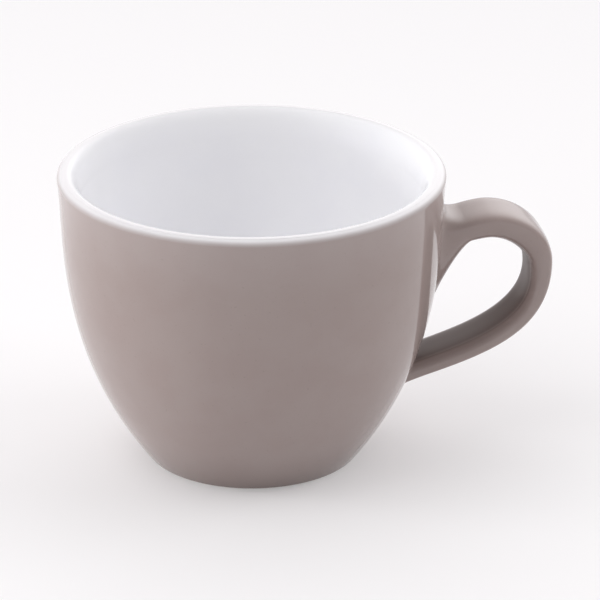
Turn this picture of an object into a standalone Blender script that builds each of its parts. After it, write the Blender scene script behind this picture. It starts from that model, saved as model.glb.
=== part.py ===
"""An espresso cup: a turned clay body, a cast strap handle stuck on with slip, and its coats of glaze.

Lengths are metres and +Z is up. The cup stands on z = 0 and its handle points along +X.
The origin is under the middle of the cup and handle together.
"""

import math

import bmesh
import bpy
import numpy as np

# Cup, measured over its glaze, with LIP_CROWN the height of the lip's flattened round
LIP_RADIUS = 0.0330
CUP_HEIGHT = 0.0517
WALL_THICKNESS = 0.0033
LOWER_WALL_THICKNESS = 0.0042
LIP_CROWN = 0.0010
LIP_LEAN = math.radians(6.8)
LIP_PULL = 0.0097
FLARE_ANGLE = math.radians(37.1)
FLARE_PULL = 0.0259
FLOOR_HEIGHT = 0.0052
FLOOR_CORNER_HEIGHT = 0.0060

# Foot, with WALL_FOOT_RADIUS where the outer glaze stops, GLAZE_STOP above the table
WALL_FOOT_RADIUS = 0.0188
GLAZE_STOP = 0.0006
FOOT_INSET = 0.0011
FOOT_RING_WIDTH = 0.0024
FOOT_RECESS_DEPTH = 0.0013
FOOT_RING_TAPER = 0.0004

# Glaze: the white inner coat ends on the outer side of the lip's round, at GLAZE_LINE
GLAZE_THICKNESS = 0.00035
SKIN_GAP = 0.0002
GLAZE_LINE = math.radians(40.0)
OPENING_OVERRUN = 0.0010

# Handle path: the strap's widest line, from the upper root over the crown and bend to the lower root
HANDLE_STANDOFF = 0.0188
CROWN_STANDOFF = 0.0079
CROWN_DROP = 0.0104
BEND_DROP = 0.0184
UPPER_ROOT_DROP = 0.0135
UPPER_ROOT_RISE = math.radians(65.7)
UPPER_ROOT_PULL = 0.0021
CROWN_PULL = 0.0016
BEND_PULL = 0.0126
LOWER_ROOT_HEIGHT = 0.0137
LOWER_ROOT_RISE = math.radians(17.2)
LOWER_ROOT_PULL = 0.0133

# Handle strap, measured over its glaze: a flat section with rounded edges, with depths from its widest
# line to its outer face and to its inner face, given at both roots and at two shares of its length
UPPER_WIDTH = 0.0107
LOWER_WIDTH = 0.0108
OUTER_DEPTH = 0.0014
UPPER_INNER_DEPTH = 0.0026
CROWN_INNER_DEPTH = 0.0037
BEND_INNER_DEPTH = 0.0021
LOWER_INNER_DEPTH = 0.0018
CROWN_SHARE = 0.32
BEND_SHARE = 0.50
OUTER_SQUARENESS = 3.5
INNER_SQUARENESS = 4.0

# Slip beads: how far each reaches along the strap, and how far its fillet spreads on the wall
# at the strap's outer face, at its edges and at its inner face, which is the side of the finger gap
UPPER_BEAD_LENGTH = 0.0052
LOWER_BEAD_LENGTH = 0.0050
UPPER_OUTER_SPREAD = 0.0030
UPPER_EDGE_SPREAD = 0.0012
UPPER_INNER_SPREAD = 0.0030
LOWER_OUTER_SPREAD = 0.0007
LOWER_EDGE_SPREAD = 0.0006
LOWER_INNER_SPREAD = 0.0008

# Fineness of the meshes
TURN_STEPS = 48
CURVE_SAMPLES = 400
WALL_STEPS = 9
INNER_WALL_STEPS = 8
CORNER_STEPS = 4
LIP_STEPS = 6
SECTION_POINTS = 16
STRAP_STEPS = 18
BEAD_STEPS = 4
CAP_RINGS = (0.34, 0.68)
BISECTIONS = 40
QUARTER_ARC_PULL = 0.5523
MERGE_DISTANCE = 0.00001
SHARP_EDGE = math.radians(50.0)

# Colours, as seen in sRGB, with a roughness each
BARE_CLAY = ((236, 232, 226), 0.70)
SLIP = ((228, 222, 214), 0.75)
WHITE_GLAZE = ((243, 242, 244), 0.08)
TAUPE_GLAZE = ((158, 145, 142), 0.08)
CLEAR_GLAZE = ((238, 236, 234), 0.12)

# Depth of the bare clay under the glazed face, and the height where the lip's round begins
CLAY_DEPTH = GLAZE_THICKNESS + SKIN_GAP
LIP_ROUND = WALL_THICKNESS / 2.0
SHOULDER_HEIGHT = CUP_HEIGHT - LIP_CROWN
FOOT_RADIUS = WALL_FOOT_RADIUS - FOOT_INSET
FOOT_RING_INNER = FOOT_RADIUS - FOOT_RING_WIDTH


def clear_scene():
    """Remove every object of the scene."""
    for item in list(bpy.data.objects):
        bpy.data.objects.remove(item, do_unlink=True)


def new_collection(name):
    """Make a collection in the scene."""
    collection = bpy.data.collections.new(name)
    bpy.context.scene.collection.children.link(collection)
    return collection


def linear(channel):
    """Turn one sRGB channel, 0 to 255, into the linear value that shaders use."""
    share = channel / 255.0
    return share / 12.92 if share <= 0.04045 else ((share + 0.055) / 1.055) ** 2.4


def coat(item, finish):
    """Give an object its own Principled material."""
    colour, roughness = finish
    material = bpy.data.materials.new(item.name)
    material.use_nodes = True
    shader = material.node_tree.nodes["Principled BSDF"]
    shader.inputs["Base Color"].default_value = [linear(channel) for channel in colour] + [1.0]
    shader.inputs["Roughness"].default_value = roughness
    shader.inputs["Metallic"].default_value = 0.0
    item.data.materials.append(material)


def add_object(name, mesh, collection, axis, finish=None):
    """Put a mesh in a collection as an object on the cup's axis."""
    item = bpy.data.objects.new(name, mesh)
    collection.objects.link(item)
    item.parent = axis
    if finish:
        coat(item, finish)
    return item


def turned(name, profile, closed, collection, axis, finish):
    """Turn a profile of radius and height points about the cup's axis with a Screw modifier."""
    count = len(profile)
    edges = [(index, index + 1) for index in range(count - 1)]
    if closed:
        edges.append((count - 1, 0))
    mesh = bpy.data.meshes.new(name)
    mesh.from_pydata([(radius, 0.0, height) for radius, height in profile], edges, [])
    item = add_object(name, mesh, collection, axis, finish)
    screw = item.modifiers.new("turn", "SCREW")
    screw.axis = "Z"
    screw.angle = 2.0 * math.pi
    screw.steps = TURN_STEPS
    screw.render_steps = TURN_STEPS
    screw.use_merge_vertices = True
    screw.merge_threshold = MERGE_DISTANCE
    screw.use_smooth_shade = True
    return item


def lofted(name, rings, looped, collection, axis, finish=None):
    """Skin a row of unlike rings: a loop of rings closes on itself, and a run of rings is capped."""
    shape = bmesh.new()
    grid = [[shape.verts.new(point) for point in ring] for ring in rings]
    pairs = list(zip(grid[:-1], grid[1:]))
    if looped:
        pairs.append((grid[-1], grid[0]))
    for ring, following in pairs:
        for index in range(len(ring)):
            beside = (index + 1) % len(ring)
            shape.faces.new((ring[index], ring[beside], following[beside], following[index]))
    if not looped:
        shape.faces.new(grid[0])
        shape.faces.new(grid[-1])
    bmesh.ops.recalc_face_normals(shape, faces=shape.faces)
    mesh = bpy.data.meshes.new(name)
    shape.to_mesh(mesh)
    shape.free()
    mesh.shade_smooth()
    mesh.set_sharp_from_angle(angle=SHARP_EDGE)
    return add_object(name, mesh, collection, axis, finish)


def bezier(start, start_pull, end_pull, end, shares):
    """Points of a cubic curve from start to end, steered by its two pull points, at shares of its run."""
    rest = 1.0 - shares
    return (rest**3 * start + 3.0 * rest**2 * shares * start_pull
            + 3.0 * rest * shares**2 * end_pull + shares**3 * end)


def outer_face():
    """The outer wall from the lip's shoulder to the foot, with its direction into the wall at each point."""
    shares = np.linspace(0.0, 1.0, CURVE_SAMPLES)[:, None]
    lip = np.array([LIP_RADIUS, SHOULDER_HEIGHT])
    foot = np.array([WALL_FOOT_RADIUS, GLAZE_STOP])
    lip_pull = lip - LIP_PULL * np.array([math.sin(LIP_LEAN), math.cos(LIP_LEAN)])
    foot_pull = foot + FLARE_PULL * np.array([math.sin(FLARE_ANGLE), math.cos(FLARE_ANGLE)])
    face = bezier(lip, lip_pull, foot_pull, foot, shares)
    along = np.gradient(face, axis=0)
    along /= np.linalg.norm(along, axis=1)[:, None]
    return face, np.stack([along[:, 1], -along[:, 0]], axis=1), shares


def radius_at(curve, heights):
    """Radius of a curve that runs from top to bottom, at the given heights."""
    return np.interp(heights, curve[::-1, 1], curve[::-1, 0])


def outer_radius(depth, heights):
    """Radius of the surface that lies depth inside the outer face."""
    face, inward, _ = outer_face()
    return radius_at(face + depth * inward, heights)


def outer_profile(depth):
    """The outer wall, depth inside its face, from the shoulder down to the foot in steps of equal length."""
    face, inward, _ = outer_face()
    inset = face + depth * inward
    picks = np.linspace(0, CURVE_SAMPLES - 1, WALL_STEPS + 1).round().astype(int)
    return inset[picks].tolist()


def inner_profile(depth):
    """The inside, depth under its glazed face, from the middle of the floor up to the lip's shoulder."""
    face, inward, shares = outer_face()
    thickness = WALL_THICKNESS + (LOWER_WALL_THICKNESS - WALL_THICKNESS) * shares
    curve = face + (thickness - depth) * inward
    floor = FLOOR_HEIGHT - depth
    start = floor + FLOOR_CORNER_HEIGHT
    heights = np.linspace(start, SHOULDER_HEIGHT, INNER_WALL_STEPS + 1)
    radii = radius_at(curve, heights)
    slope = (radii[1] - radii[0]) / (heights[1] - heights[0])
    knee = np.array([radii[0] - slope * FLOOR_CORNER_HEIGHT, floor])
    wall_end = np.array([radii[0], start])
    floor_end = knee - np.array([np.linalg.norm(wall_end - knee), 0.0])
    turn = np.linspace(0.0, 1.0, CORNER_STEPS + 1)[:-1, None]
    corner = (1.0 - turn)**2 * floor_end + 2.0 * turn * (1.0 - turn) * knee + turn**2 * wall_end
    return [[0.0, floor]] + corner.tolist() + np.stack([radii, heights], axis=1).tolist()


def lip_arc(depth, start, end):
    """The lip's half ellipse, depth under its glazed face, between two angles from its outer end."""
    angles = np.linspace(start, end, LIP_STEPS + 1)
    radii = LIP_RADIUS - LIP_ROUND + (LIP_ROUND - depth) * np.cos(angles)
    heights = SHOULDER_HEIGHT + (LIP_CROWN - depth) * np.sin(angles)
    return np.stack([radii, heights], axis=1).tolist()


def make_cup_body(collection, axis):
    """The bare clay: inside, lip, outer wall, foot ring and the recess under the floor."""
    inside = inner_profile(CLAY_DEPTH)[:-1]
    lip = lip_arc(CLAY_DEPTH, math.pi, 0.0)
    outside = outer_profile(CLAY_DEPTH)[1:]
    foot = [
        [FOOT_RADIUS, 0.0],
        [FOOT_RING_INNER, 0.0],
        [FOOT_RING_INNER - FOOT_RING_TAPER, FOOT_RECESS_DEPTH],
        [0.0, FOOT_RECESS_DEPTH],
    ]
    turned("cup_body", inside + lip + outside + foot, False, collection, axis, BARE_CLAY)


def make_inner_glaze(collection, axis):
    """The white coat: up the inside and over the lip to the glaze line, then back along the clay."""
    face = inner_profile(0.0)[:-1] + lip_arc(0.0, math.pi, GLAZE_LINE)
    back = inner_profile(GLAZE_THICKNESS)[:-1] + lip_arc(GLAZE_THICKNESS, math.pi, GLAZE_LINE)
    turned("inner_glaze", face + back[::-1], False, collection, axis, WHITE_GLAZE)


def make_outer_glaze(collection, axis, openings):
    """The taupe coat: from the glaze line down to the foot, open where the slip beads reach the clay."""
    start = GLAZE_LINE - SKIN_GAP / LIP_CROWN
    face = lip_arc(0.0, start, 0.0) + outer_profile(0.0)[1:]
    back = lip_arc(GLAZE_THICKNESS, start, 0.0) + outer_profile(GLAZE_THICKNESS)[1:]
    item = turned("outer_glaze", face + back[::-1], True, collection, axis, TAUPE_GLAZE)
    cut = item.modifiers.new("openings", "BOOLEAN")
    cut.operation = "DIFFERENCE"
    cut.solver = "EXACT"
    cut.operand_type = "COLLECTION"
    cut.collection = openings


def make_base_glaze(collection, axis):
    """The coat on the ceiling of the foot's recess."""
    top = FOOT_RECESS_DEPTH - SKIN_GAP
    under = top - GLAZE_THICKNESS
    rim = FOOT_RING_INNER - FOOT_RING_TAPER - SKIN_GAP
    profile = [[0.0, top], [rim, top], [rim, under], [0.0, under]]
    turned("base_glaze", profile, False, collection, axis, CLEAR_GLAZE)


def strap_path():
    """Points of the strap's path as distance from the axis and height, with the length run so far."""
    upper_height = CUP_HEIGHT - UPPER_ROOT_DROP
    upper = np.array([float(outer_radius(0.0, upper_height)), upper_height])
    lower = np.array([float(outer_radius(0.0, LOWER_ROOT_HEIGHT)), LOWER_ROOT_HEIGHT])
    crown = np.array([LIP_RADIUS + CROWN_STANDOFF, CUP_HEIGHT - CROWN_DROP])
    bend = np.array([LIP_RADIUS + HANDLE_STANDOFF - OUTER_DEPTH, CUP_HEIGHT - BEND_DROP])
    out = np.array([1.0, 0.0])
    up = np.array([0.0, 1.0])
    upper_way = np.array([math.cos(UPPER_ROOT_RISE), math.sin(UPPER_ROOT_RISE)])
    lower_way = np.array([math.cos(LOWER_ROOT_RISE), math.sin(LOWER_ROOT_RISE)])
    arc = QUARTER_ARC_PULL * (bend - crown)
    shares = np.linspace(0.0, 1.0, CURVE_SAMPLES)[:, None]
    rise = bezier(upper, upper + UPPER_ROOT_PULL * upper_way, crown - CROWN_PULL * out, crown, shares)
    turn = bezier(crown, crown + arc[0] * out, bend - arc[1] * up, bend, shares)
    fall = bezier(bend, bend - BEND_PULL * up, lower + LOWER_ROOT_PULL * lower_way, lower, shares)
    points = np.concatenate([rise[:-1], turn[:-1], fall])
    steps = np.linalg.norm(np.diff(points, axis=0), axis=1)
    return points, np.concatenate([[0.0], np.cumsum(steps)])


def strap_frame(run):
    """Point of the path, direction along the strap and direction to its outer face, a run along the path."""
    points, lengths = strap_path()
    along = np.gradient(points, lengths, axis=0)
    middle = np.array([np.interp(run, lengths, points[:, column]) for column in (0, 1)])
    way = np.array([np.interp(run, lengths, along[:, column]) for column in (0, 1)])
    way /= np.linalg.norm(way)
    return middle, way, np.array([-way[1], way[0]])


def section_angles():
    """Angles round the strap's section, from the middle of its outer face."""
    return np.linspace(0.0, 2.0 * math.pi, SECTION_POINTS, endpoint=False)


def strap_ring(run, depth):
    """The strap's section, depth under its glazed face, a run along the path."""
    middle, _, outward = strap_frame(run)
    _, lengths = strap_path()
    share = run / lengths[-1]
    half_width = (UPPER_WIDTH + (LOWER_WIDTH - UPPER_WIDTH) * share) / 2.0 - depth
    inner_depths = [UPPER_INNER_DEPTH, CROWN_INNER_DEPTH, BEND_INNER_DEPTH, LOWER_INNER_DEPTH]
    inner_depth = np.interp(share, [0.0, CROWN_SHARE, BEND_SHARE, 1.0], inner_depths) - depth
    angles = section_angles()
    on_outer = np.cos(angles) > 0.0
    power = 2.0 / np.where(on_outer, OUTER_SQUARENESS, INNER_SQUARENESS)
    reach = np.where(on_outer, OUTER_DEPTH - depth, inner_depth)
    towards_outer = reach * np.sign(np.cos(angles)) * np.abs(np.cos(angles))**power
    across = half_width * np.sign(np.sin(angles)) * np.abs(np.sin(angles))**power
    return np.stack([
        middle[0] + towards_outer * outward[0],
        across,
        middle[1] + towards_outer * outward[1],
    ], axis=1)


def onto_wall(points, way, depth):
    """Slide points along a direction until they lie on the wall, depth inside its outer face."""
    near = np.full(len(points), -LIP_RADIUS)
    far = np.full(len(points), LIP_RADIUS)
    for _ in range(BISECTIONS):
        middle = (near + far) / 2.0
        moved = points + middle[:, None] * way
        outside = np.hypot(moved[:, 0], moved[:, 1]) > outer_radius(depth, moved[:, 2])
        near = np.where(outside, middle, near)
        far = np.where(outside, far, middle)
    return points + near[:, None] * way


def root_of(upper):
    """A root's place on the path, the place where its bead ends and its direction inward."""
    length = strap_path()[1][-1]
    if upper:
        return 0.0, UPPER_BEAD_LENGTH, -1.0
    return length, length - LOWER_BEAD_LENGTH, 1.0


def spread_of(upper):
    """How far a root's fillet spreads on the wall, round the strap's section."""
    outer, edge, inner = UPPER_OUTER_SPREAD, UPPER_EDGE_SPREAD, UPPER_INNER_SPREAD
    if not upper:
        outer, edge, inner = LOWER_OUTER_SPREAD, LOWER_EDGE_SPREAD, LOWER_INNER_SPREAD
    facing = np.cos(section_angles())
    return edge + (np.where(facing > 0.0, outer, inner) - edge) * facing**2


def footprint(upper, depth, wall_depth, spread):
    """Where the strap meets the wall, and the same outline spread outward along the wall.

    The strap's face runs on along the strap, but the upper root's outer face runs level into the wall.
    """
    start, end, side = root_of(upper)
    _, way, _ = strap_frame(start)
    along = side * np.array([way[0], 0.0, way[1]])
    level = np.array([-1.0, 0.0, 0.0])
    meeting = onto_wall(strap_ring(start, depth), along, wall_depth)
    if upper:
        share = (1.0 + np.cos(section_angles()))[:, None] / 2.0
        straight = onto_wall(strap_ring(end, depth), level, wall_depth)
        meeting = onto_wall(meeting + share * (straight - meeting), level, wall_depth)
    away = meeting - meeting.mean(axis=0)
    away /= np.linalg.norm(away, axis=1)[:, None]
    return meeting, onto_wall(meeting + spread[:, None] * away, level, wall_depth)


def bead_rings(upper, depth, wall_depth):
    """Rings of a root's fillet, from its footprint on the wall to the strap's section at the bead's end."""
    _, end, side = root_of(upper)
    meeting, foot = footprint(upper, depth, wall_depth, spread_of(upper))
    section = strap_ring(end, depth)
    _, way, _ = strap_frame(end)
    pull = np.linalg.norm(section - meeting, axis=1).min() / 3.0
    strap_pull = section + side * pull * np.array([way[0], 0.0, way[1]])
    shares = np.linspace(0.0, 1.0, BEAD_STEPS + 1)
    return [bezier(foot, meeting, strap_pull, section, share) for share in shares]


def make_slip_joint(name, upper, collection, axis):
    """The bead of slip between the clay wall and the end of the strap, with a face that follows the wall."""
    rings = bead_rings(upper, CLAY_DEPTH, GLAZE_THICKNESS)
    centre = rings[0].mean(axis=0)
    inward = np.array([-1.0, 0.0, 0.0])
    caps = [onto_wall(centre + size * (rings[0] - centre), inward, GLAZE_THICKNESS) for size in CAP_RINGS]
    lofted(name, caps + rings, False, collection, axis, SLIP)


def make_opening(name, upper, cutters, axis):
    """The cutter that leaves room in the outer glaze for a slip bead, flat on its far side."""
    _, edge = footprint(upper, CLAY_DEPTH, GLAZE_THICKNESS, spread_of(upper) + SKIN_GAP)
    near = edge - SKIN_GAP * np.array([1.0, 0.0, 0.0])
    far = edge.copy()
    far[:, 0] = edge[:, 0].max() + GLAZE_THICKNESS + OPENING_OVERRUN
    item = lofted(name, [near, far], False, cutters, axis)
    item.hide_render = True
    item.display_type = "WIRE"


def make_handle(collection, axis):
    """The cast clay strap between the two beads."""
    start = root_of(True)[1] + SKIN_GAP
    end = root_of(False)[1] - SKIN_GAP
    rings = [strap_ring(run, CLAY_DEPTH) for run in np.linspace(start, end, STRAP_STEPS + 1)]
    lofted("handle", rings, False, collection, axis, BARE_CLAY)


def coat_rings(depth):
    """Rings of the handle's coat, depth under its face, from the upper fillet to the lower one."""
    start = root_of(True)[1]
    end = root_of(False)[1]
    strap = [strap_ring(run, depth) for run in np.linspace(start, end, STRAP_STEPS + 1)]
    upper = bead_rings(True, depth, -SKIN_GAP)
    lower = bead_rings(False, depth, -SKIN_GAP)
    return upper + strap[1:-1] + lower[::-1]


def make_handle_glaze(collection, axis):
    """The taupe coat round the strap and both beads."""
    rings = coat_rings(0.0) + coat_rings(GLAZE_THICKNESS)[::-1]
    lofted("handle_glaze", rings, True, collection, axis, TAUPE_GLAZE)


def main():
    """Build the cup."""
    clear_scene()
    collection = new_collection("espresso_cup")
    cutters = new_collection("cutters")
    axis = bpy.data.objects.new("cup_axis", None)
    axis.location = (-HANDLE_STANDOFF / 2.0, 0.0, 0.0)
    collection.objects.link(axis)
    make_opening("upper_opening", True, cutters, axis)
    make_opening("lower_opening", False, cutters, axis)
    make_cup_body(collection, axis)
    make_inner_glaze(collection, axis)
    make_outer_glaze(collection, axis, cutters)
    make_base_glaze(collection, axis)
    make_slip_joint("upper_slip_joint", True, collection, axis)
    make_slip_joint("lower_slip_joint", False, collection, axis)
    make_handle(collection, axis)
    make_handle_glaze(collection, axis)


main()
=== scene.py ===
"""The looks of an espresso cup: taupe and white glazes over a turned clay body with a strap handle.

Lengths are metres and +Z is up. The cup stands on z = 0 and its handle points along +X.
"""

import math

import bmesh
import bpy
import numpy as np
from mathutils import Matrix, Vector


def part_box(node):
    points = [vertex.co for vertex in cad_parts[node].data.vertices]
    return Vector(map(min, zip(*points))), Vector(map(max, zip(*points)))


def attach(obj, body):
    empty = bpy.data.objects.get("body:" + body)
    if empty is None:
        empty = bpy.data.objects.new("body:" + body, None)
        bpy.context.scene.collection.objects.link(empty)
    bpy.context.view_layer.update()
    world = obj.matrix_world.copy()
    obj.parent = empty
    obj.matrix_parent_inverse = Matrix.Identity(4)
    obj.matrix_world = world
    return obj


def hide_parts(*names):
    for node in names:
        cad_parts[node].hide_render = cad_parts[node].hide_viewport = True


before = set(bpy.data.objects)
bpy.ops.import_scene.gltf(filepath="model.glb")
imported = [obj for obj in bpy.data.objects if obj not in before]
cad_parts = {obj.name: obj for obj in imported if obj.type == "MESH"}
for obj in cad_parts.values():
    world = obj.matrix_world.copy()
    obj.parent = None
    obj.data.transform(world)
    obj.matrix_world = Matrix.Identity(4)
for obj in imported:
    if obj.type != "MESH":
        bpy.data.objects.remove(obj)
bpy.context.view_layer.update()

bl_info = {
    "name": "Espresso Cup",
    "version": (1, 0, 0),
    "blender": (4, 5, 0),
    "location": "View3D > Sidebar > Espresso Cup",
    "description": "Makes the glazes, the clay and the studio of an espresso cup",
    "category": "Object",
}

# Sizes that the frame gives
WALL_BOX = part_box("outer_glaze")
BOWL_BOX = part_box("inner_glaze")
HANDLE_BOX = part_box("handle_glaze")
AXIS_X = (WALL_BOX[0].x + WALL_BOX[1].x) / 2.0
LIP_RADIUS = (WALL_BOX[1].x - WALL_BOX[0].x) / 2.0

# The cup's body in the frame, the attribute that holds the share of painted shade on the handle, and the
# finish that two coats share
BODY = "root"
SHADE_ATTRIBUTE = "painted_shade"
TAUPE_FINISH = "taupe_finish"

# Samples of a cubic curve, off which other points are read
CURVE_SAMPLES = 600

# Fineness of the turned pieces: steps round the axis, and points along the lines of their profiles
TURN_STEPS = 192
WALL_POINTS = 150
WALL_BACK_POINTS = 60
BOWL_POINTS = 70
BOWL_BACK_POINTS = 30
CLAY_BOWL_POINTS = 40
WHITE_LIP_POINTS = 40
LIP_POINTS = 24
LIP_BACK_POINTS = 16
ROLLED_EDGE_POINTS = 9
WORN_EDGE_POINTS = 7
RECESS_POINTS = 20

# Fineness of the handle: points round its section, rows along it, the step between the rows that its coat's
# back keeps, samples in a blended depth, and halvings while a point slides to the wall
SECTION_POINTS = 112
STRAP_ROWS = 150
FILLET_ROWS = 36
BACK_ROW_STEP = 3
BLEND_SAMPLES = 25
BISECTIONS = 40

# Points closer than this are one, and a bend of more than this is a sharp edge
MERGE_DISTANCE = 1e-7
SHARP_EDGE = math.radians(55.0)

# Pull of a cubic curve that follows a quarter of an ellipse, as a share of its half axis
QUARTER_ARC_PULL = 0.5523

# Shares of the strap's length where its inner depth is given, and how far to each side it is blended
CROWN_SHARE = 0.32
BEND_SHARE = 0.50
DEPTH_BLEND = 0.08

# Lap of the taupe coat under the white one's end: its turn on the lip's round, and as shares of the glaze
# how deep its end is sunk and how thick it is there
LAP_TURN = math.radians(8.0)
LAP_SINK = 0.1
LAP_END = 0.3

# Painted shade on the strap's inner face, by the cosine of the angle from the middle of that face: where it
# starts, and the span over which it grows to full
SHADE_START = 0.68
SHADE_SPAN = 0.22

# Sizes of the patterns in the finishes, in metres
GLOSS_CLOUD_SIZE = 0.006
RIPPLE_SIZE = 0.0045
MOTTLE_SIZE = 0.007
SPECK_SIZE = 0.00045
WAVER_SIZE = 0.005
WHITE_CLOUD_SIZE = 0.011
CLAY_GRAIN_SIZE = 0.0004
CLAY_PATCH_SIZE = 0.004
CLAY_DULL_SIZE = 0.0006
CLAY_PIT_SIZE = 0.00025
BASE_GRAIN_SIZE = 0.0006
BASE_CLOUD_SIZE = 0.003

# Levels of the noise, which runs from 0 to 1, between which a pattern sets in
CLOUD_SPAN = (0.3, 0.7)
SPECK_SPAN = (0.68, 0.80)
CLAY_GRAIN_SPAN = (0.55, 0.75)
BASE_GRAIN_SPAN = (0.58, 0.78)

# Strength of the patterns: shares of a second colour, a shade, roughness, and depths in metres
GLOSS_DRIFT = 0.03
RIPPLE_DEPTH = 0.000006
SPECK_SHARE = 0.22
SPECK_SHADE = 0.6
WAVER_DRIFT = 0.12
CLAY_GRAIN_SHARE = 0.6
CLAY_PATCH_SHARE = 0.35
CLAY_ROUGHNESS = 0.72
CLAY_ROUGHNESS_DRIFT = 0.2
CLAY_PIT_DEPTH = 0.00002
BASE_GRAIN_SHARE = 0.4
BASE_ROUGHNESS = 0.10
BASE_ROUGHNESS_DRIFT = 0.08

# Lamps: name, turn from the camera and height in degrees, distance and side in metres
LAMPS = (
    ("key", -60.0, 25.0, 0.80, 0.70),
    ("high", -60.0, 60.0, 0.80, 0.50),
    ("edge", -95.0, 5.0, 0.70, 0.20),
    ("fill", 90.0, 35.0, 0.80, 0.50),
)
LAMP_AIM_HEIGHT = 0.025

# Camera: the photograph's side in pixels, the sensor's width in millimetres, and the range that is drawn
FRAME_PIXELS = 600.0
SENSOR_WIDTH = 36.0
CLIP_START = 0.01
CLIP_END = 20.0


def length(name, description, default):
    """A property that holds a length in metres."""
    return bpy.props.FloatProperty(
        name=name, description=description, default=default, min=0.0, precision=5, unit="LENGTH")


def angle(name, description, degrees):
    """A property that holds an angle."""
    return bpy.props.FloatProperty(
        name=name, description=description, default=math.radians(degrees), subtype="ANGLE")


def number(name, description, default):
    """A property that holds a plain number."""
    return bpy.props.FloatProperty(name=name, description=description, default=default, precision=3)


def colour(name, description, red, green, blue):
    """A property that holds a colour, given here as sRGB from 0 to 255."""
    return bpy.props.FloatVectorProperty(
        name=name, description=description, default=linear(red, green, blue), size=3,
        min=0.0, max=1.0, subtype="COLOR")


def linear(*channels):
    """Turn sRGB channels, 0 to 255, into the linear values that shaders use. A channel c from 0 to 1
    becomes c / 12.92 up to 0.04045, and ((c + 0.055) / 1.055)^2.4 above it."""
    shares = [channel / 255.0 for channel in channels]
    return tuple(
        share / 12.92 if share <= 0.04045 else ((share + 0.055) / 1.055) ** 2.4
        for share in shares)


class CupShape(bpy.types.PropertyGroup):
    """Sizes of the turned bowl, measured over its glaze."""

    lip_radius: length("Lip radius", "Outer radius of the lip", LIP_RADIUS)
    height: length("Height", "Height of the lip over the table", BOWL_BOX[1].z)
    wall: length("Wall", "Thickness of the wall at the lip", 0.0033)
    lower_wall: length("Lower wall", "Thickness of the wall at the foot", 0.0042)
    lip_crown: length("Lip crown", "Height of the lip's round on the outside", 0.0010)
    lip_roll: length("Lip roll", "Height of the lip's round on the inside", 0.0055)
    lip_lean: angle("Lip lean", "Outward lean of the wall at the lip", 6.8)
    lip_pull: length("Lip pull", "How far the lip's lean carries down the wall", 0.0097)
    flare: angle("Flare", "Outward lean of the wall at the foot", 37.1)
    flare_pull: length("Flare pull", "How far the flare carries up the wall", 0.0259)
    wall_foot_radius: length("Wall foot radius", "Radius where the outer glaze stops", 0.0188)
    glaze_stop: length("Glaze stop", "Height over the table where the outer glaze stops", WALL_BOX[0].z)
    floor_height: length("Floor height", "Height of the bowl's floor over the table", 0.0052)
    floor_corner: length("Floor corner", "Height of the curve between floor and wall", 0.0060)
    glaze: length("Glaze", "Thickness of the glaze", 0.00035)
    glaze_line: angle("Glaze line", "Place on the lip's round where the white coat ends", 66.0)
    foot_inset: length("Foot inset", "Step from the wall's foot in to the foot ring", 0.0011)
    ring_width: length("Ring width", "Width of the foot ring", 0.0024)
    recess: length("Recess", "Depth of the recess inside the foot ring", 0.0013)
    ring_taper: length("Ring taper", "Slope of the foot ring's inner side", 0.0004)
    ring_round: length("Ring round", "Radius of the foot ring's worn edges", 0.0003)


class HandleShape(bpy.types.PropertyGroup):
    """Sizes of the strap handle, measured over its glaze."""

    standoff: length("Standoff", "Reach of the handle past the lip", HANDLE_BOX[1].x - WALL_BOX[1].x)
    crown_standoff: length("Crown standoff", "Place of the highest point, past the lip", 0.0079)
    crown_drop: length("Crown drop", "Drop from the lip to the highest point", 0.0104)
    bend_drop: length("Bend drop", "Drop from the lip to the outermost point", 0.0184)
    upper_drop: length("Upper root drop", "Drop from the lip to the upper root", 0.0135)
    upper_rise: angle("Upper root rise", "Climb of the strap at its upper root", 65.7)
    upper_pull: length("Upper root pull", "How far that climb carries along the strap", 0.0021)
    crown_pull: length("Crown pull", "How far the highest point stays level", 0.0016)
    bend_pull: length("Bend pull", "How far the outermost point stays upright", 0.0126)
    lower_height: length("Lower root height", "Height of the lower root over the table", 0.0137)
    lower_rise: angle("Lower root rise", "Climb of the strap at its lower root", 17.2)
    lower_pull: length("Lower root pull", "How far that climb carries along the strap", 0.0133)
    upper_width: length("Upper width", "Width across the strap at its upper root", 0.0107)
    lower_width: length("Lower width", "Width across the strap at its lower root", 0.0108)
    outer_depth: length("Outer depth", "From the widest line to the outer face", 0.0014)
    upper_inner: length("Upper inner depth", "From the widest line to the inner face, upper root", 0.0031)
    crown_inner: length(
        "Crown inner depth", "From the widest line to the inner face, past the crown", 0.0039)
    bend_inner: length("Bend inner depth", "From the widest line to the inner face, at the bend", 0.0021)
    lower_inner: length("Lower inner depth", "From the widest line to the inner face, lower root", 0.0018)
    outer_square: number("Outer squareness", "Exponent of the outer half of the section", 3.5)
    inner_square: number("Inner squareness", "Exponent of the inner half of the section", 2.9)
    upper_bead: length("Upper fillet length", "Reach of the upper fillet along the strap", 0.0052)
    lower_bead: length("Lower fillet length", "Reach of the lower fillet along the strap", 0.0050)
    upper_outer_spread: length("Upper outer spread", "Spread of the upper fillet, outer face", 0.0030)
    upper_edge_spread: length("Upper edge spread", "Spread of the upper fillet, strap's edges", 0.0012)
    upper_inner_spread: length("Upper inner spread", "Spread of the upper fillet, inner face", 0.0030)
    lower_outer_spread: length("Lower outer spread", "Spread of the lower fillet, outer face", 0.0007)
    lower_edge_spread: length("Lower edge spread", "Spread of the lower fillet, strap's edges", 0.0006)
    lower_inner_spread: length("Lower inner spread", "Spread of the lower fillet, inner face", 0.0008)
    inner_ease: number("Inner ease", "How far the fillets' inner curves keep the strap's direction", 1.3)
    seat: length("Seat", "Depth that the fillet's edge is sunk in the wall's glaze", 0.00012)


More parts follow.
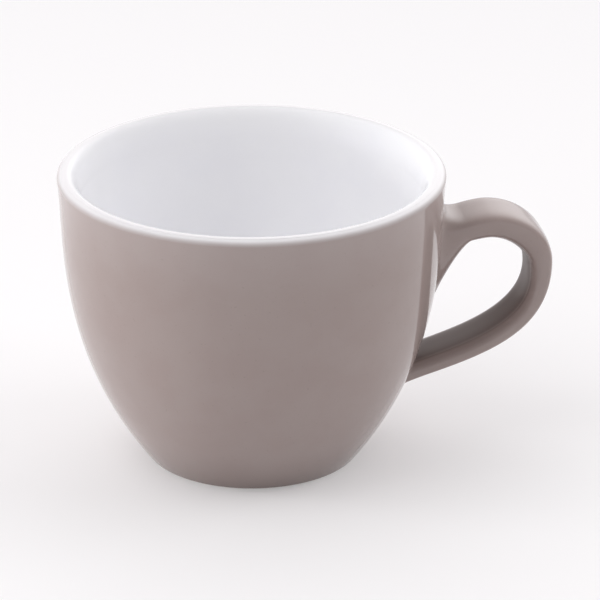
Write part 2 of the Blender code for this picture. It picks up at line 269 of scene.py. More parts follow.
class CupFinish(bpy.types.PropertyGroup):
    """Colours and gloss of the glazes and the clay."""

    taupe: colour("Taupe", "Outer glaze", 158, 144, 140)
    taupe_deep: colour("Deep taupe", "Outer glaze where it lies thicker", 156, 141, 137)
    # Colour of the painted shade inside the handle and at the foot
    taupe_shade: colour("Shaded taupe", "Painted shade on the outer glaze inside the handle and at the foot", 104, 86, 80)
    white: colour("White", "Inner glaze", 249, 249, 251)
    white_deep: colour("Deep white", "Inner glaze where it lies thicker", 247, 247, 250)
    lip: colour("Lip", "Glaze where it runs thin over the lip", 230, 228, 230)
    clay: colour("Clay", "Bare fired clay", 226, 219, 209)
    clay_grain: colour("Clay grain", "Darker grains in the clay", 196, 184, 170)
    slip: colour("Slip", "Luting slip", 214, 205, 193)
    base: colour("Base", "Thin glaze in the foot's recess", 232, 229, 226)
    gloss: number("Gloss", "Roughness of the glazes", 0.07)
    break_start: number("Break start", "Share of the lip's round where taupe starts to pale", -0.55)
    break_end: number("Break end", "Share of the lip's round where taupe has turned white", 0.72)
    break_power: number("Break power", "How late the paling sets in between the two", 2.2)
    fade: number("Fade", "Share of white that shows through the taupe near the lip", 0.08)
    fade_reach: length("Fade reach", "How far below the lip that fade starts", 0.0120)
    # The handle's inner face, where shade is painted, is also rougher
    shade_gloss: number("Shade gloss", "Extra roughness where shade is painted inside the handle", 0.35)
    # Painted shade at the wall's foot: its share, and the height over the table that it reaches
    foot_shade: number("Foot shade", "Share of painted shade at the wall's foot", 0.26)
    foot_shade_reach: length("Foot shade reach", "Height over the table up to which shade is painted at the foot", 0.0100)


class StudioShape(bpy.types.PropertyGroup):
    """Floor, lights and camera."""

    floor: colour("Floor", "Studio floor", 245, 244, 245)
    backdrop: colour("Backdrop", "What the camera sees past the floor", 252, 250, 251)
    floor_reach: length("Floor reach", "Half the floor's side", 3.0)
    floor_white: number("Floor white", "Share of the floor that the camera sees as plain backdrop", 0.30)
    sky: number("Sky", "Level of the light from all round", 0.39)
    glow: number("Glow", "Level of the light from the white backdrop behind the cup", 1.26)
    glow_fall: number("Glow fall", "How fast that light falls off to the sides", 1.2)
    glow_height: angle("Glow height", "Height of the middle of that light", 15.0)
    gleam: number("Gleam", "Level of the window behind on the right, which reflections show", 1.62)
    gleam_fall: number("Gleam fall", "How fast the window falls off to its sides", 6.0)
    gleam_turn: angle("Gleam turn", "Turn of the window's middle from the camera's side", 160.0)
    gleam_height: angle("Gleam height", "Height of the window's middle", 25.0)
    key: number("Key", "Radiance of the large light on the front left", 0.86)
    high: number("High", "Radiance of the high light on the front left", 1.75)
    edge: number("Edge", "Radiance of the low light on the left", 14.5)
    fill: number("Fill", "Radiance of the light on the right", 2.1)
    azimuth: angle("Azimuth", "Turn of the camera about the cup", -8.0)
    pitch: angle("Pitch", "Tilt of the camera down to the cup", 23.03)
    distance: length("Distance", "From the camera to the level of the lip's centre", 0.594)
    lens: number("Lens", "Focal length in millimetres", 210.4)
    lip_column: number("Lip column", "Pixel column of the lip's centre in the photograph", 251.6)
    lip_row: number("Lip row", "Pixel row of the lip's centre in the photograph", 168.2)


class EspressoCup(bpy.types.PropertyGroup):
    """The sizes, finishes and studio that the panel shows."""

    cup: bpy.props.PointerProperty(type=CupShape)
    handle: bpy.props.PointerProperty(type=HandleShape)
    finish: bpy.props.PointerProperty(type=CupFinish)
    studio: bpy.props.PointerProperty(type=StudioShape)


# Curves and surfaces


def bezier(start, start_pull, end_pull, end, shares):
    """Cubic curve: weights (1-t)^3, 3(1-t)^2 t, 3(1-t) t^2 and t^3 on its four points, at each share t."""
    rest = 1.0 - shares
    return (rest**3 * start + 3.0 * rest**2 * shares * start_pull
            + 3.0 * rest * shares**2 * end_pull + shares**3 * end)


def unit(vectors):
    """The same directions with a length of 1."""
    return vectors / np.linalg.norm(vectors, axis=-1, keepdims=True)


def run_lengths(points):
    """The length run so far at each point of a line."""
    steps = np.linalg.norm(np.diff(points, axis=0), axis=1)
    return np.concatenate([[0.0], np.cumsum(steps)])


def at_runs(pairs, lengths, runs):
    """Pairs of values that are known along a line, read off at the given runs."""
    return np.stack([np.interp(runs, lengths, pairs[:, column]) for column in (0, 1)], axis=-1)


def evenly(points, count):
    """The same line with count points at equal steps of its length."""
    lengths = run_lengths(points)
    return at_runs(points, lengths, np.linspace(0.0, lengths[-1], count))


def wall_face(cup):
    """Outer wall: a cubic curve from the lip's shoulder down to the foot. Returns its points, its unit
    normals into the wall and its shares from 0 to 1."""
    shares = np.linspace(0.0, 1.0, CURVE_SAMPLES)[:, None]
    lip = np.array([cup.lip_radius, cup.height - cup.lip_crown])
    foot = np.array([cup.wall_foot_radius, cup.glaze_stop])
    lip_pull = lip - cup.lip_pull * np.array([math.sin(cup.lip_lean), math.cos(cup.lip_lean)])
    foot_pull = foot + cup.flare_pull * np.array([math.sin(cup.flare), math.cos(cup.flare)])
    face = bezier(lip, lip_pull, foot_pull, foot, shares)
    along = unit(np.gradient(face, axis=0))
    return face, np.stack([along[:, 1], -along[:, 0]], axis=1), shares


def radius_at(curve, heights):
    """Radius of a curve that runs from top to bottom, at the given heights."""
    return np.interp(heights, curve[::-1, 1], curve[::-1, 0])


def outer_line(cup, depth, count):
    """The outer wall, depth inside its face, from the shoulder down to the foot."""
    face, inward, _ = wall_face(cup)
    return evenly(face + depth * inward, count)


def inner_face(cup, depth):
    """The inner wall, depth under its face: the outer curve moved in by a wall that thickens downward."""
    face, inward, shares = wall_face(cup)
    thickness = cup.wall + (cup.lower_wall - cup.wall) * shares
    return face + (thickness - depth) * inward


def inner_line(cup, depth, count):
    """The inside, depth under its face: a level floor, a square-law curve that leaves the floor and takes
    up the wall's slope, then the inner wall up to the lip's round. The wall has count points, the curve
    half as many and the floor a quarter."""
    curve = inner_face(cup, depth)
    floor = cup.floor_height - depth
    start = floor + cup.floor_corner
    heights = np.linspace(start, cup.height - cup.lip_roll, count)
    radii = radius_at(curve, heights)
    slope = (radii[1] - radii[0]) / (heights[1] - heights[0])
    knee = np.array([radii[0] - slope * cup.floor_corner, floor])
    wall_end = np.array([radii[0], start])
    floor_end = knee - np.array([np.linalg.norm(wall_end - knee), 0.0])
    turn = np.linspace(0.0, 1.0, count // 2)[:-1, None]
    corner = (1.0 - turn)**2 * floor_end + 2.0 * turn * (1.0 - turn) * knee + turn**2 * wall_end
    across = np.linspace(0.0, floor_end[0], count // 4)[:-1]
    flat = np.stack([across, np.full_like(across, floor)], axis=1)
    return np.concatenate([flat, corner, np.stack([radii, heights], axis=1)])


def lip_line(cup, depths, start, end, count):
    """The lip: two quarter ellipses over the wall's middle, lower on the inside than on the outside,
    depths under their face, from one angle to another."""
    angles = np.linspace(start, end, count)
    outside = np.cos(angles) > 0.0
    middle = cup.lip_radius - cup.wall / 2.0
    inner = radius_at(inner_face(cup, 0.0), cup.height - cup.lip_roll)
    width = np.where(outside, cup.lip_radius - middle, middle - inner)
    drop = np.where(outside, cup.lip_crown, cup.lip_roll)
    radii = middle + (width - depths) * np.cos(angles)
    heights = cup.height - drop + (drop - depths) * np.sin(angles)
    return np.stack([radii, heights], axis=1)


def arc_line(centre, radius, start, end, count):
    """Points of a circle about centre, from one angle to another."""
    angles = np.linspace(start, end, count)
    return np.asarray(centre) + radius * np.stack([np.cos(angles), np.sin(angles)], axis=1)


def turned(profile):
    """Carry a profile of radius and height round the axis: x = r cos a, y = r sin a, z = h."""
    angles = np.linspace(0.0, 2.0 * math.pi, TURN_STEPS, endpoint=False)
    radius = profile[:, 0, None]
    height = np.broadcast_to(profile[:, 1, None], (len(profile), TURN_STEPS))
    return np.stack([AXIS_X + radius * np.cos(angles), radius * np.sin(angles), height], axis=2)


def skin(name, grid, looped, material, shade_share=None):
    """Make a closed mesh object from a grid of points: its columns join up, and its rows too if looped.
    Shade share gives the share of painted shade at each point."""
    rows, columns = grid.shape[:2]
    numbers = np.arange(rows * columns).reshape(rows, columns)
    lower = numbers if looped else numbers[:-1]
    upper = np.roll(numbers, -1, axis=0) if looped else numbers[1:]
    faces = np.stack([lower, np.roll(lower, -1, axis=1), np.roll(upper, -1, axis=1), upper], axis=2)
    mesh = bpy.data.meshes.new(name)
    mesh.from_pydata(grid.reshape(-1, 3), [], faces.reshape(-1, 4))
    if shade_share is not None:
        mesh.attributes.new(SHADE_ATTRIBUTE, "FLOAT", "POINT").data.foreach_set("value", shade_share.ravel())
    shape = bmesh.new()
    shape.from_mesh(mesh)
    bmesh.ops.remove_doubles(shape, verts=shape.verts, dist=MERGE_DISTANCE)
    bmesh.ops.recalc_face_normals(shape, faces=shape.faces)
    if any(not edge.is_manifold for edge in shape.edges):
        raise RuntimeError(f"{name} isn't closed")
    shape.to_mesh(mesh)
    shape.free()
    mesh.shade_smooth()
    mesh.set_sharp_from_angle(angle=SHARP_EDGE)
    mesh.materials.append(material)
    item = bpy.data.objects.new(name, mesh)
    bpy.context.scene.collection.objects.link(item)
    return item


def strap_path(cup, handle):
    """The strap's widest line as distance from the axis and height: three cubic curves that join smoothly
    at the highest and the outermost point. Returns its points and the length run so far."""
    wall = wall_face(cup)[0]
    upper_height = cup.height - handle.upper_drop
    upper = np.array([radius_at(wall, upper_height), upper_height])
    lower = np.array([radius_at(wall, handle.lower_height), handle.lower_height])
    crown = np.array([cup.lip_radius + handle.crown_standoff, cup.height - handle.crown_drop])
    reach = cup.lip_radius + handle.standoff - handle.outer_depth
    bend = np.array([reach, cup.height - handle.bend_drop])
    out = np.array([1.0, 0.0])
    up = np.array([0.0, 1.0])
    upper_way = np.array([math.cos(handle.upper_rise), math.sin(handle.upper_rise)])
    lower_way = np.array([math.cos(handle.lower_rise), math.sin(handle.lower_rise)])
    arc = QUARTER_ARC_PULL * (bend - crown)
    shares = np.linspace(0.0, 1.0, CURVE_SAMPLES)[:, None]
    rise_start = upper + handle.upper_pull * upper_way
    rise_end = crown - handle.crown_pull * out
    fall_start = bend - handle.bend_pull * up
    fall_end = lower + handle.lower_pull * lower_way
    rise = bezier(upper, rise_start, rise_end, crown, shares)
    turn = bezier(crown, crown + arc[0] * out, bend - arc[1] * up, bend, shares)
    fall = bezier(bend, fall_start, fall_end, lower, shares)
    points = np.concatenate([rise[:-1], turn[:-1], fall])
    return points, run_lengths(points)


def strap_way(path, runs):
    """Points of the path and unit directions along it, at the given runs."""
    points, lengths = path
    along = np.gradient(points, lengths, axis=0)
    return at_runs(points, lengths, runs), unit(at_runs(along, lengths, runs))


def section_angles():
    """Angles round the strap's section, from the middle of its outer face."""
    return np.linspace(0.0, 2.0 * math.pi, SECTION_POINTS, endpoint=False)


def strap_rows(handle, path, runs, depth):
    """Sections of the strap at the given runs, depth under its face: two halves of superellipses,
    |n / reach|^p + |w / half width|^p = 1, with an exponent p of its own on each side of the path. The
    inner reach is blended between four depths, as a mean over the path nearby."""
    places, ways = strap_way(path, runs)
    outward = np.stack([-ways[:, 1], ways[:, 0]], axis=1)
    share = (runs / path[1][-1])[:, None]
    half_width = (handle.upper_width + (handle.lower_width - handle.upper_width) * share) / 2.0 - depth
    given = [0.0, CROWN_SHARE, BEND_SHARE, 1.0]
    depths = [handle.upper_inner, handle.crown_inner, handle.bend_inner, handle.lower_inner]
    nearby = share + np.linspace(-DEPTH_BLEND, DEPTH_BLEND, BLEND_SAMPLES)
    inner = np.interp(nearby, given, depths).mean(axis=1, keepdims=True) - depth
    angles = section_angles()[None, :]
    on_outer = np.cos(angles) > 0.0
    power = 2.0 / np.where(on_outer, handle.outer_square, handle.inner_square)
    reach = np.where(on_outer, handle.outer_depth - depth, inner)
    lift = reach * np.sign(np.cos(angles)) * np.abs(np.cos(angles))**power
    across = half_width * np.sign(np.sin(angles)) * np.abs(np.sin(angles))**power
    return np.stack([
        AXIS_X + places[:, 0, None] + lift * outward[:, 0, None],
        across,
        places[:, 1, None] + lift * outward[:, 1, None],
    ], axis=2)


def onto_wall(cup, points, way, depth):
    """Slide points along a direction until they lie on the wall, depth inside its face, by halving."""
    face, inward, _ = wall_face(cup)
    wall = face + depth * inward
    near = np.full(len(points), -cup.lip_radius)
    far = np.full(len(points), cup.lip_radius)
    for _ in range(BISECTIONS):
        middle = (near + far) / 2.0
        moved = points + middle[:, None] * way
        outside = np.hypot(moved[:, 0] - AXIS_X, moved[:, 1]) > radius_at(wall, moved[:, 2])
        near = np.where(outside, middle, near)
        far = np.where(outside, far, middle)
    return points + near[:, None] * way


def fillet_rows(cup, handle, path, upper, depth, wall_depth):
    """A root's fillet: each point of the section runs on a cubic curve that leaves the wall along its face
    and reaches the strap along its length. The upper root's outer face runs level into the wall, and on
    the inner side every curve keeps the strap's direction for the same length."""
    whole = path[1][-1]
    facing = np.cos(section_angles())
    outwards = (1.0 + facing) / 2.0
    if upper:
        start, end, side = 0.0, handle.upper_bead, -1.0
        outer, edge, inner = handle.upper_outer_spread, handle.upper_edge_spread, handle.upper_inner_spread
    else:
        start, end, side = whole, whole - handle.lower_bead, 1.0
        outer, edge, inner = handle.lower_outer_spread, handle.lower_edge_spread, handle.lower_inner_spread
    spread = edge + (np.where(facing > 0.0, outer, inner) - edge) * facing**2
    sections = strap_rows(handle, path, np.array([start, end]), depth)
    ways = strap_way(path, np.array([start, end]))[1]
    inward = side * np.stack([ways[:, 0], np.zeros(2), ways[:, 1]], axis=1)
    level = np.array([-1.0, 0.0, 0.0])
    meeting = onto_wall(cup, sections[0], inward[0], wall_depth)
    if upper:
        straight = onto_wall(cup, sections[1], level, wall_depth)
        meeting = onto_wall(cup, meeting + outwards[:, None] * (straight - meeting), level, wall_depth)
    away = unit(meeting - meeting.mean(axis=0))
    foot = onto_wall(cup, meeting + spread[:, None] * away, level, wall_depth)
    distance = np.linalg.norm(sections[1] - meeting, axis=1)
    pull = (outwards * distance + (1.0 - outwards) * handle.inner_ease * distance.min())[:, None] / 3.0
    shares = np.linspace(0.0, 1.0, FILLET_ROWS)[:, None, None]
    return bezier(foot, meeting, sections[1] + pull * inward[1], sections[1], shares)


def handle_rows(cup, handle, depth, wall_depth):
    """Rows of the handle's skin, depth under its face: upper fillet, strap and lower fillet."""
    path = strap_path(cup, handle)
    runs = np.linspace(handle.upper_bead, path[1][-1] - handle.lower_bead, STRAP_ROWS)
    strap = strap_rows(handle, path, runs, depth)
    upper = fillet_rows(cup, handle, path, True, depth, wall_depth)
    lower = fillet_rows(cup, handle, path, False, depth, wall_depth)
    return np.concatenate([upper, strap[1:-1], lower[::-1]])


# Shader nodes


class Signal:
    """One output socket of a node. Arithmetic on it, also with a number in front, adds Math nodes."""

    def __init__(self, sheet, socket):
        self.sheet = sheet
        self.socket = socket

    def math(self, operation, first, second):
        """The output of a Math node on two signals or numbers."""
        return self.sheet.add("ShaderNodeMath", {"operation": operation}, {0: first, 1: second})

    def __add__(self, other):
        return self.math("ADD", self, other)

    def __radd__(self, other):
        return self.math("ADD", other, self)

    def __sub__(self, other):
        return self.math("SUBTRACT", self, other)

    def __rsub__(self, other):
        return self.math("SUBTRACT", other, self)

    def __mul__(self, other):
        return self.math("MULTIPLY", self, other)

    def __rmul__(self, other):
        return self.math("MULTIPLY", other, self)

    def __truediv__(self, other):
        return self.math("DIVIDE", self, other)

    def __rtruediv__(self, other):
        return self.math("DIVIDE", other, self)

    def __pow__(self, other):
        return self.math("POWER", self, other)

    def __rpow__(self, other):
        return self.math("POWER", other, self)

    def most(self, other):
        """The larger of the two."""
        return self.math("MAXIMUM", self, other)


class Sheet:
    """The node tree of a material or of the world, emptied first."""

    def __init__(self, owner):
        owner.use_nodes = True
        self.tree = owner.node_tree
        self.tree.nodes.clear()

    def add(self, kind, settings=None, sockets=None, output=0):
        """Add a node: its settings first, then values or links on its sockets. Returns one output."""
        node = self.tree.nodes.new(kind)
        for name, value in (settings or {}).items():
            setattr(node, name, value)
        for key, value in (sockets or {}).items():
            if isinstance(value, Signal):
                self.tree.links.new(value.socket, node.inputs[key])
            else:
                node.inputs[key].default_value = value
        return Signal(self, node.outputs[output]) if node.outputs else node

    def places(self):
        """Object coordinates, in metres."""
        return self.add("ShaderNodeTexCoord", output="Object")

    def noise(self, size, detail=2.0):
        """Smooth noise from 0 to 1 with features of about this size in metres."""
        return self.add("ShaderNodeTexNoise", {"noise_dimensions": "3D"}, {
            "Vector": self.places(), "Scale": 1.0 / size, "Detail": detail, "Roughness": 0.5})

    def height(self):
        """Height over the table."""
        return self.add("ShaderNodeSeparateXYZ", None, {0: self.places()}, output="Z")

    def radius(self):
        """Distance from the cup's axis."""
        flat = self.add("ShaderNodeVectorMath", {"operation": "MULTIPLY"}, {
            0: self.places(), 1: (1.0, 1.0, 0.0)})
        return self.add("ShaderNodeVectorMath", {"operation": "DISTANCE"}, {
            0: flat, 1: (AXIS_X, 0.0, 0.0)}, output="Value")

    def slope(self, value, low, high):
        """A straight step of a value from 0 at low to 1 at high."""
        return self.add("ShaderNodeMapRange", None, {"Value": value, "From Min": low, "From Max": high})

    def ramp(self, value, low, high):
        """A smooth step of a value from 0 at low to 1 at high."""
        return self.add("ShaderNodeMapRange", {"interpolation_type": "SMOOTHSTEP"}, {
            "Value": value, "From Min": low, "From Max": high})

    def mix(self, factor, first, second):
        """A blend of two colours."""
        return self.add("ShaderNodeMix", {"data_type": "RGBA"}, {0: factor, 6: first, 7: second}, output=2)

    def bump(self, height, depth):
        """A normal that follows a height from 0 to 1 of this depth in metres."""
        return self.add("ShaderNodeBump", None, {"Height": height, "Strength": 1.0, "Distance": depth})

    def seen(self):
        """1 for rays from the camera, from a reflection or through glass, else 0."""
        rays = ["Is Camera Ray", "Is Glossy Ray", "Is Transmission Ray"]
        camera, glossy, through = [self.add("ShaderNodeLightPath", output=ray) for ray in rays]
        return camera.most(glossy).most(through)

    def surface(self, sockets):
        """A Principled shader as the material's surface."""
        shader = self.add("ShaderNodeBsdfPrincipled", None, sockets)
        self.add("ShaderNodeOutputMaterial", None, {"Surface": shader})


def rgba(values):
    """A colour with full alpha."""
    return (*values, 1.0)


def glaze_gloss(sheet, finish):
    """Roughness of a glaze: even, with faint cloudy patches."""
    return finish.gloss + (sheet.noise(GLOSS_CLOUD_SIZE) - 0.5) * GLOSS_DRIFT


def glaze_ripple(sheet):
    """The faint unevenness that a melted glaze keeps."""
    return sheet.bump(sheet.noise(RIPPLE_SIZE, detail=1.0), RIPPLE_DEPTH)


def taupe_glaze(cup, finish):
    """Outer glaze: taupe with faint mottling and specks, painted shade on the handle's inner face, which is
    also duller there, painted shade darkening the wall towards the foot, and paling to white where it thins
    over the lip."""
    material = bpy.data.materials.new(TAUPE_FINISH)
    sheet = Sheet(material)
    mottle = sheet.ramp(sheet.noise(MOTTLE_SIZE, detail=4.0), *CLOUD_SPAN)
    body = sheet.mix(mottle, rgba(finish.taupe), rgba(finish.taupe_deep))
    # Share of painted shade on the handle's inner face, which the handle's coat holds as an attribute
    shade_share = sheet.add("ShaderNodeAttribute", {"attribute_name": SHADE_ATTRIBUTE}, output="Fac")
    # Painted shade that darkens the wall towards the foot
    foot = sheet.ramp(sheet.height(), finish.foot_shade_reach, 0.0) * finish.foot_shade
    # Painted shade: the handle's inner face and the wall near the foot are darkened towards the shaded
    # taupe
    body = sheet.mix(shade_share.most(foot), body, rgba(finish.taupe_shade))
    specks = sheet.ramp(sheet.noise(SPECK_SIZE, detail=1.0), *SPECK_SPAN)
    dark = [channel * SPECK_SHADE for channel in finish.taupe_deep]
    body = sheet.mix(specks * SPECK_SHARE, body, rgba(dark))
    share = (sheet.height() - (cup.height - cup.lip_crown)) / cup.lip_crown
    waver = (sheet.noise(WAVER_SIZE) - 0.5) * WAVER_DRIFT
    thin = sheet.slope(share + waver, finish.break_start, finish.break_end) ** finish.break_power
    fade = sheet.ramp(sheet.height(), cup.height - finish.fade_reach, cup.height) * finish.fade
    sheet.surface({
        "Base Color": sheet.mix(thin.most(fade), body, rgba(finish.lip)),
        "Roughness": glaze_gloss(sheet, finish) + shade_share * finish.shade_gloss,
        "Normal": glaze_ripple(sheet),
    })
    return material


def white_glaze(cup, finish):
    """Inner glaze: cool white with faint clouds, a little darker where it runs thin over the lip."""
    material = bpy.data.materials.new("white_finish")
    sheet = Sheet(material)
    clouds = sheet.ramp(sheet.noise(WHITE_CLOUD_SIZE, detail=3.0), *CLOUD_SPAN)
    body = sheet.mix(clouds, rgba(finish.white), rgba(finish.white_deep))
    middle = cup.lip_radius - cup.wall / 2.0
    thin = sheet.ramp(sheet.radius(), middle - cup.wall / 4.0, middle)
    sheet.surface({
        "Base Color": sheet.mix(thin, body, rgba(finish.lip)),
        "Roughness": glaze_gloss(sheet, finish),
        "Normal": glaze_ripple(sheet),
    })
    return material


def fired_clay(name, clay, grain):
    """Bare clay: matt, with fine darker grains and a grainy face."""
    material = bpy.data.materials.new(name)
    sheet = Sheet(material)
    grains = sheet.ramp(sheet.noise(CLAY_GRAIN_SIZE), *CLAY_GRAIN_SPAN)
    patches = sheet.noise(CLAY_PATCH_SIZE) * CLAY_PATCH_SHARE
    sheet.surface({
        "Base Color": sheet.mix(grains * CLAY_GRAIN_SHARE + patches, rgba(clay), rgba(grain)),
        "Roughness": CLAY_ROUGHNESS + sheet.noise(CLAY_DULL_SIZE) * CLAY_ROUGHNESS_DRIFT,
        "Normal": sheet.bump(sheet.noise(CLAY_PIT_SIZE, detail=3.0), CLAY_PIT_DEPTH),
    })
    return material


def base_glaze(finish):
    """Thin glaze over the clay: pale, with the clay's grains showing through."""
    material = bpy.data.materials.new("base_finish")
    sheet = Sheet(material)
    grains = sheet.ramp(sheet.noise(BASE_GRAIN_SIZE), *BASE_GRAIN_SPAN)
    sheet.surface({
        "Base Color": sheet.mix(grains * BASE_GRAIN_SHARE, rgba(finish.base), rgba(finish.clay_grain)),
        "Roughness": BASE_ROUGHNESS + sheet.noise(BASE_CLOUD_SIZE) * BASE_ROUGHNESS_DRIFT,
        "Normal": glaze_ripple(sheet),
    })
    return material


# Studio


def make_floor(studio):
    """A plain floor that is solid from above and clear from below."""
    reach = studio.floor_reach
    mesh = bpy.data.meshes.new("studio_floor")
    corners = [(-reach, -reach, 0.0), (reach, -reach, 0.0), (reach, reach, 0.0), (-reach, reach, 0.0)]
    mesh.from_pydata(corners, [], [(0, 1, 2, 3)])
    material = bpy.data.materials.new("studio_floor")
    sheet = Sheet(material)
    paper = sheet.add("ShaderNodeBsdfDiffuse", None, {"Color": rgba(studio.floor)})
    white = sheet.add("ShaderNodeEmission", None, {"Color": rgba(studio.backdrop), "Strength": 1.0})
    clear = sheet.add("ShaderNodeBsdfTransparent")
    lit = sheet.add("ShaderNodeMixShader", None, {0: sheet.seen() * studio.floor_white, 1: paper, 2: white})
    below = sheet.add("ShaderNodeNewGeometry", output="Backfacing")
    shader = sheet.add("ShaderNodeMixShader", None, {0: below, 1: lit, 2: clear})
    sheet.add("ShaderNodeOutputMaterial", None, {"Surface": shader})
    mesh.materials.append(material)
    floor = bpy.data.objects.new("studio_floor", mesh)
    bpy.context.scene.collection.objects.link(floor)


def towards(studio, turn, height):
    """Direction from the cup at this turn from the camera's side and this height."""
    around = studio.azimuth + turn
    level = math.cos(height)
    return Vector((math.sin(around) * level, -math.cos(around) * level, math.sin(height)))


def make_sky(scene, studio):
    """Even light from all round and a glow from behind, level * cos(angle to its middle)^fall, whose place
    a smaller window takes in reflections. The camera sees the plain backdrop."""
    world = bpy.data.worlds.new("studio_sky")
    scene.world = world
    sheet = Sheet(world)
    direction = sheet.add("ShaderNodeTexCoord", output="Generated")

    def light(level, fall, turn, height):
        facing = sheet.add("ShaderNodeVectorMath", {"operation": "DOT_PRODUCT"}, {
            0: direction, 1: towards(studio, turn, height)}, output="Value")
        return facing.most(0.0) ** fall * level

    glow = light(studio.glow, studio.glow_fall, math.pi, studio.glow_height)
    gleam = light(studio.gleam, studio.gleam_fall, studio.gleam_turn, studio.gleam_height)
    camera = sheet.add("ShaderNodeLightPath", output="Is Camera Ray")
    seen = sheet.seen()
    lit = (1.0 - seen) * glow + seen * gleam + studio.sky
    background = sheet.add("ShaderNodeBackground", None, {
        "Color": rgba(studio.backdrop), "Strength": camera + (1.0 - camera) * lit})
    sheet.add("ShaderNodeOutputWorld", None, {"Surface": background})


def add_lamp(name, place_at, aim, size, radiance):
    """A square lamp of this side and radiance, aimed at a point, that reflections don't show."""
    data = bpy.data.lights.new(name, "AREA")
    data.shape = "SQUARE"
    data.size = size
    data.energy = radiance * size * size * math.pi
    lamp = bpy.data.objects.new(name, data)
    lamp.location = place_at
    lamp.rotation_mode = "QUATERNION"
    lamp.rotation_quaternion = (aim - place_at).to_track_quat("-Z", "Y")
    lamp.visible_camera = False
    lamp.visible_glossy = False
    bpy.context.scene.collection.objects.link(lamp)


def make_lamps(studio):
    """Soft lamps round the cup: a key, a high and a low one on the left, and a fill on the right."""
    aim = Vector((AXIS_X, 0.0, LAMP_AIM_HEIGHT))
    for name, turn, height, distance, size in LAMPS:
        way = towards(studio, math.radians(turn), math.radians(height))
        add_lamp(name, aim + distance * way, aim, size, getattr(studio, name))


def make_camera(scene, cup, studio):
    """The photograph's camera, placed so that the lip's centre falls on its own pixel."""
    focal = studio.lens / SENSOR_WIDTH * FRAME_PIXELS
    lip = Vector((AXIS_X, 0.0, cup.height))
    back = towards(studio, 0.0, studio.pitch)
    right = Vector((math.cos(studio.azimuth), math.sin(studio.azimuth), 0.0))
    up = back.cross(right)
    sideways = (studio.lip_column - FRAME_PIXELS / 2.0) / focal * studio.distance
    upward = (FRAME_PIXELS / 2.0 - studio.lip_row) / focal * studio.distance
    data = bpy.data.cameras.new("camera")
    data.sensor_width = SENSOR_WIDTH
    data.lens = studio.lens
    data.clip_start = CLIP_START
    data.clip_end = CLIP_END
    camera = bpy.data.objects.new("camera", data)
    camera.rotation_mode = "QUATERNION"
    camera.rotation_quaternion = Matrix((right, up, back)).transposed().to_quaternion()
    camera.location = lip + back * studio.distance - right * sideways - up * upward
    scene.collection.objects.link(camera)
    scene.camera = camera


# Operators


def place(item, node):
    """Let a piece ride with the cup and stand for a node."""
    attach(item, BODY)
    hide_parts(node)


class CUP_OT_outer_glaze(bpy.types.Operator):
    """The taupe coat on the outside of the wall, feathered out over the lip and rounded off at the foot"""

    bl_idname = "espresso_cup.outer_glaze"
    bl_label = "Outer Glaze"

    def execute(self, context):
        settings = context.scene.espresso_cup
        cup = settings.cup
        lap = cup.glaze_line + LAP_TURN
        sink = np.linspace(1.0, 0.0, LIP_POINTS)**2 * cup.glaze * LAP_SINK
        lip = lip_line(cup, sink, lap, 0.0, LIP_POINTS)
        face = outer_line(cup, 0.0, WALL_POINTS)
        back = outer_line(cup, cup.glaze, WALL_BACK_POINTS)[::-1]
        half = (face[-1] - back[0]) / 2.0
        middle = (face[-1] + back[0]) / 2.0
        lean = math.atan2(half[1], half[0])
        edge = arc_line(middle, np.linalg.norm(half), lean, lean - math.pi, ROLLED_EDGE_POINTS)[1:-1]
        taper = np.linspace(1.0, LAP_END, LIP_BACK_POINTS) * cup.glaze
        lip_back = lip_line(cup, taper, 0.0, lap, LIP_BACK_POINTS)
        profile = np.concatenate([lip[:-1], face, edge, back[:-1], lip_back])
        item = skin("outer_glaze_coat", turned(profile), True, taupe_glaze(cup, settings.finish))
        place(item, "outer_glaze")
        return {"FINISHED"}


class CUP_OT_inner_glaze(bpy.types.Operator):
    """The white coat on the floor, up the inside and over the lip"""

    bl_idname = "espresso_cup.inner_glaze"
    bl_label = "Inner Glaze"

    def execute(self, context):
        settings = context.scene.espresso_cup
        cup = settings.cup
        lip = lip_line(cup, 0.0, math.pi, cup.glaze_line, WHITE_LIP_POINTS)
        face = np.concatenate([inner_line(cup, 0.0, BOWL_POINTS)[:-1], lip])
        lip_back = lip_line(cup, cup.glaze, math.pi, cup.glaze_line, LIP_BACK_POINTS)
        back = np.concatenate([inner_line(cup, cup.glaze, BOWL_BACK_POINTS)[:-1], lip_back])
        profile = np.concatenate([face, back[::-1]])
        item = skin("inner_glaze_coat", turned(profile), False, white_glaze(cup, settings.finish))
        place(item, "inner_glaze")
        return {"FINISHED"}


class CUP_OT_clay_body(bpy.types.Operator):
    """The turned clay under the glazes, with its bare foot ring and the recess inside it"""

    bl_idname = "espresso_cup.clay_body"
    bl_label = "Clay Body"

    def execute(self, context):
        settings = context.scene.espresso_cup
        cup = settings.cup
        depth = cup.glaze
        radius = cup.wall_foot_radius - cup.foot_inset
        inner_radius = radius - cup.ring_width
        worn = cup.ring_round
        inside = inner_line(cup, depth, CLAY_BOWL_POINTS)[:-1]
        lip = lip_line(cup, depth, math.pi, 0.0, LIP_POINTS)
        outside = outer_line(cup, depth, WALL_BACK_POINTS)[1:]
        down = -math.pi / 2.0
        outer_edge = arc_line((radius - worn, worn), worn, 0.0, down, WORN_EDGE_POINTS)
        inner_edge = arc_line((inner_radius + worn, worn), worn, down, -math.pi, WORN_EDGE_POINTS)
        recess = np.array([[inner_radius - cup.ring_taper, cup.recess], [0.0, cup.recess]])
        profile = np.concatenate([inside, lip, outside, outer_edge, inner_edge, recess])
        clay = fired_clay("clay_finish", settings.finish.clay, settings.finish.clay_grain)
        item = skin("clay_body", turned(profile), False, clay)
        place(item, "cup_body")
        return {"FINISHED"}


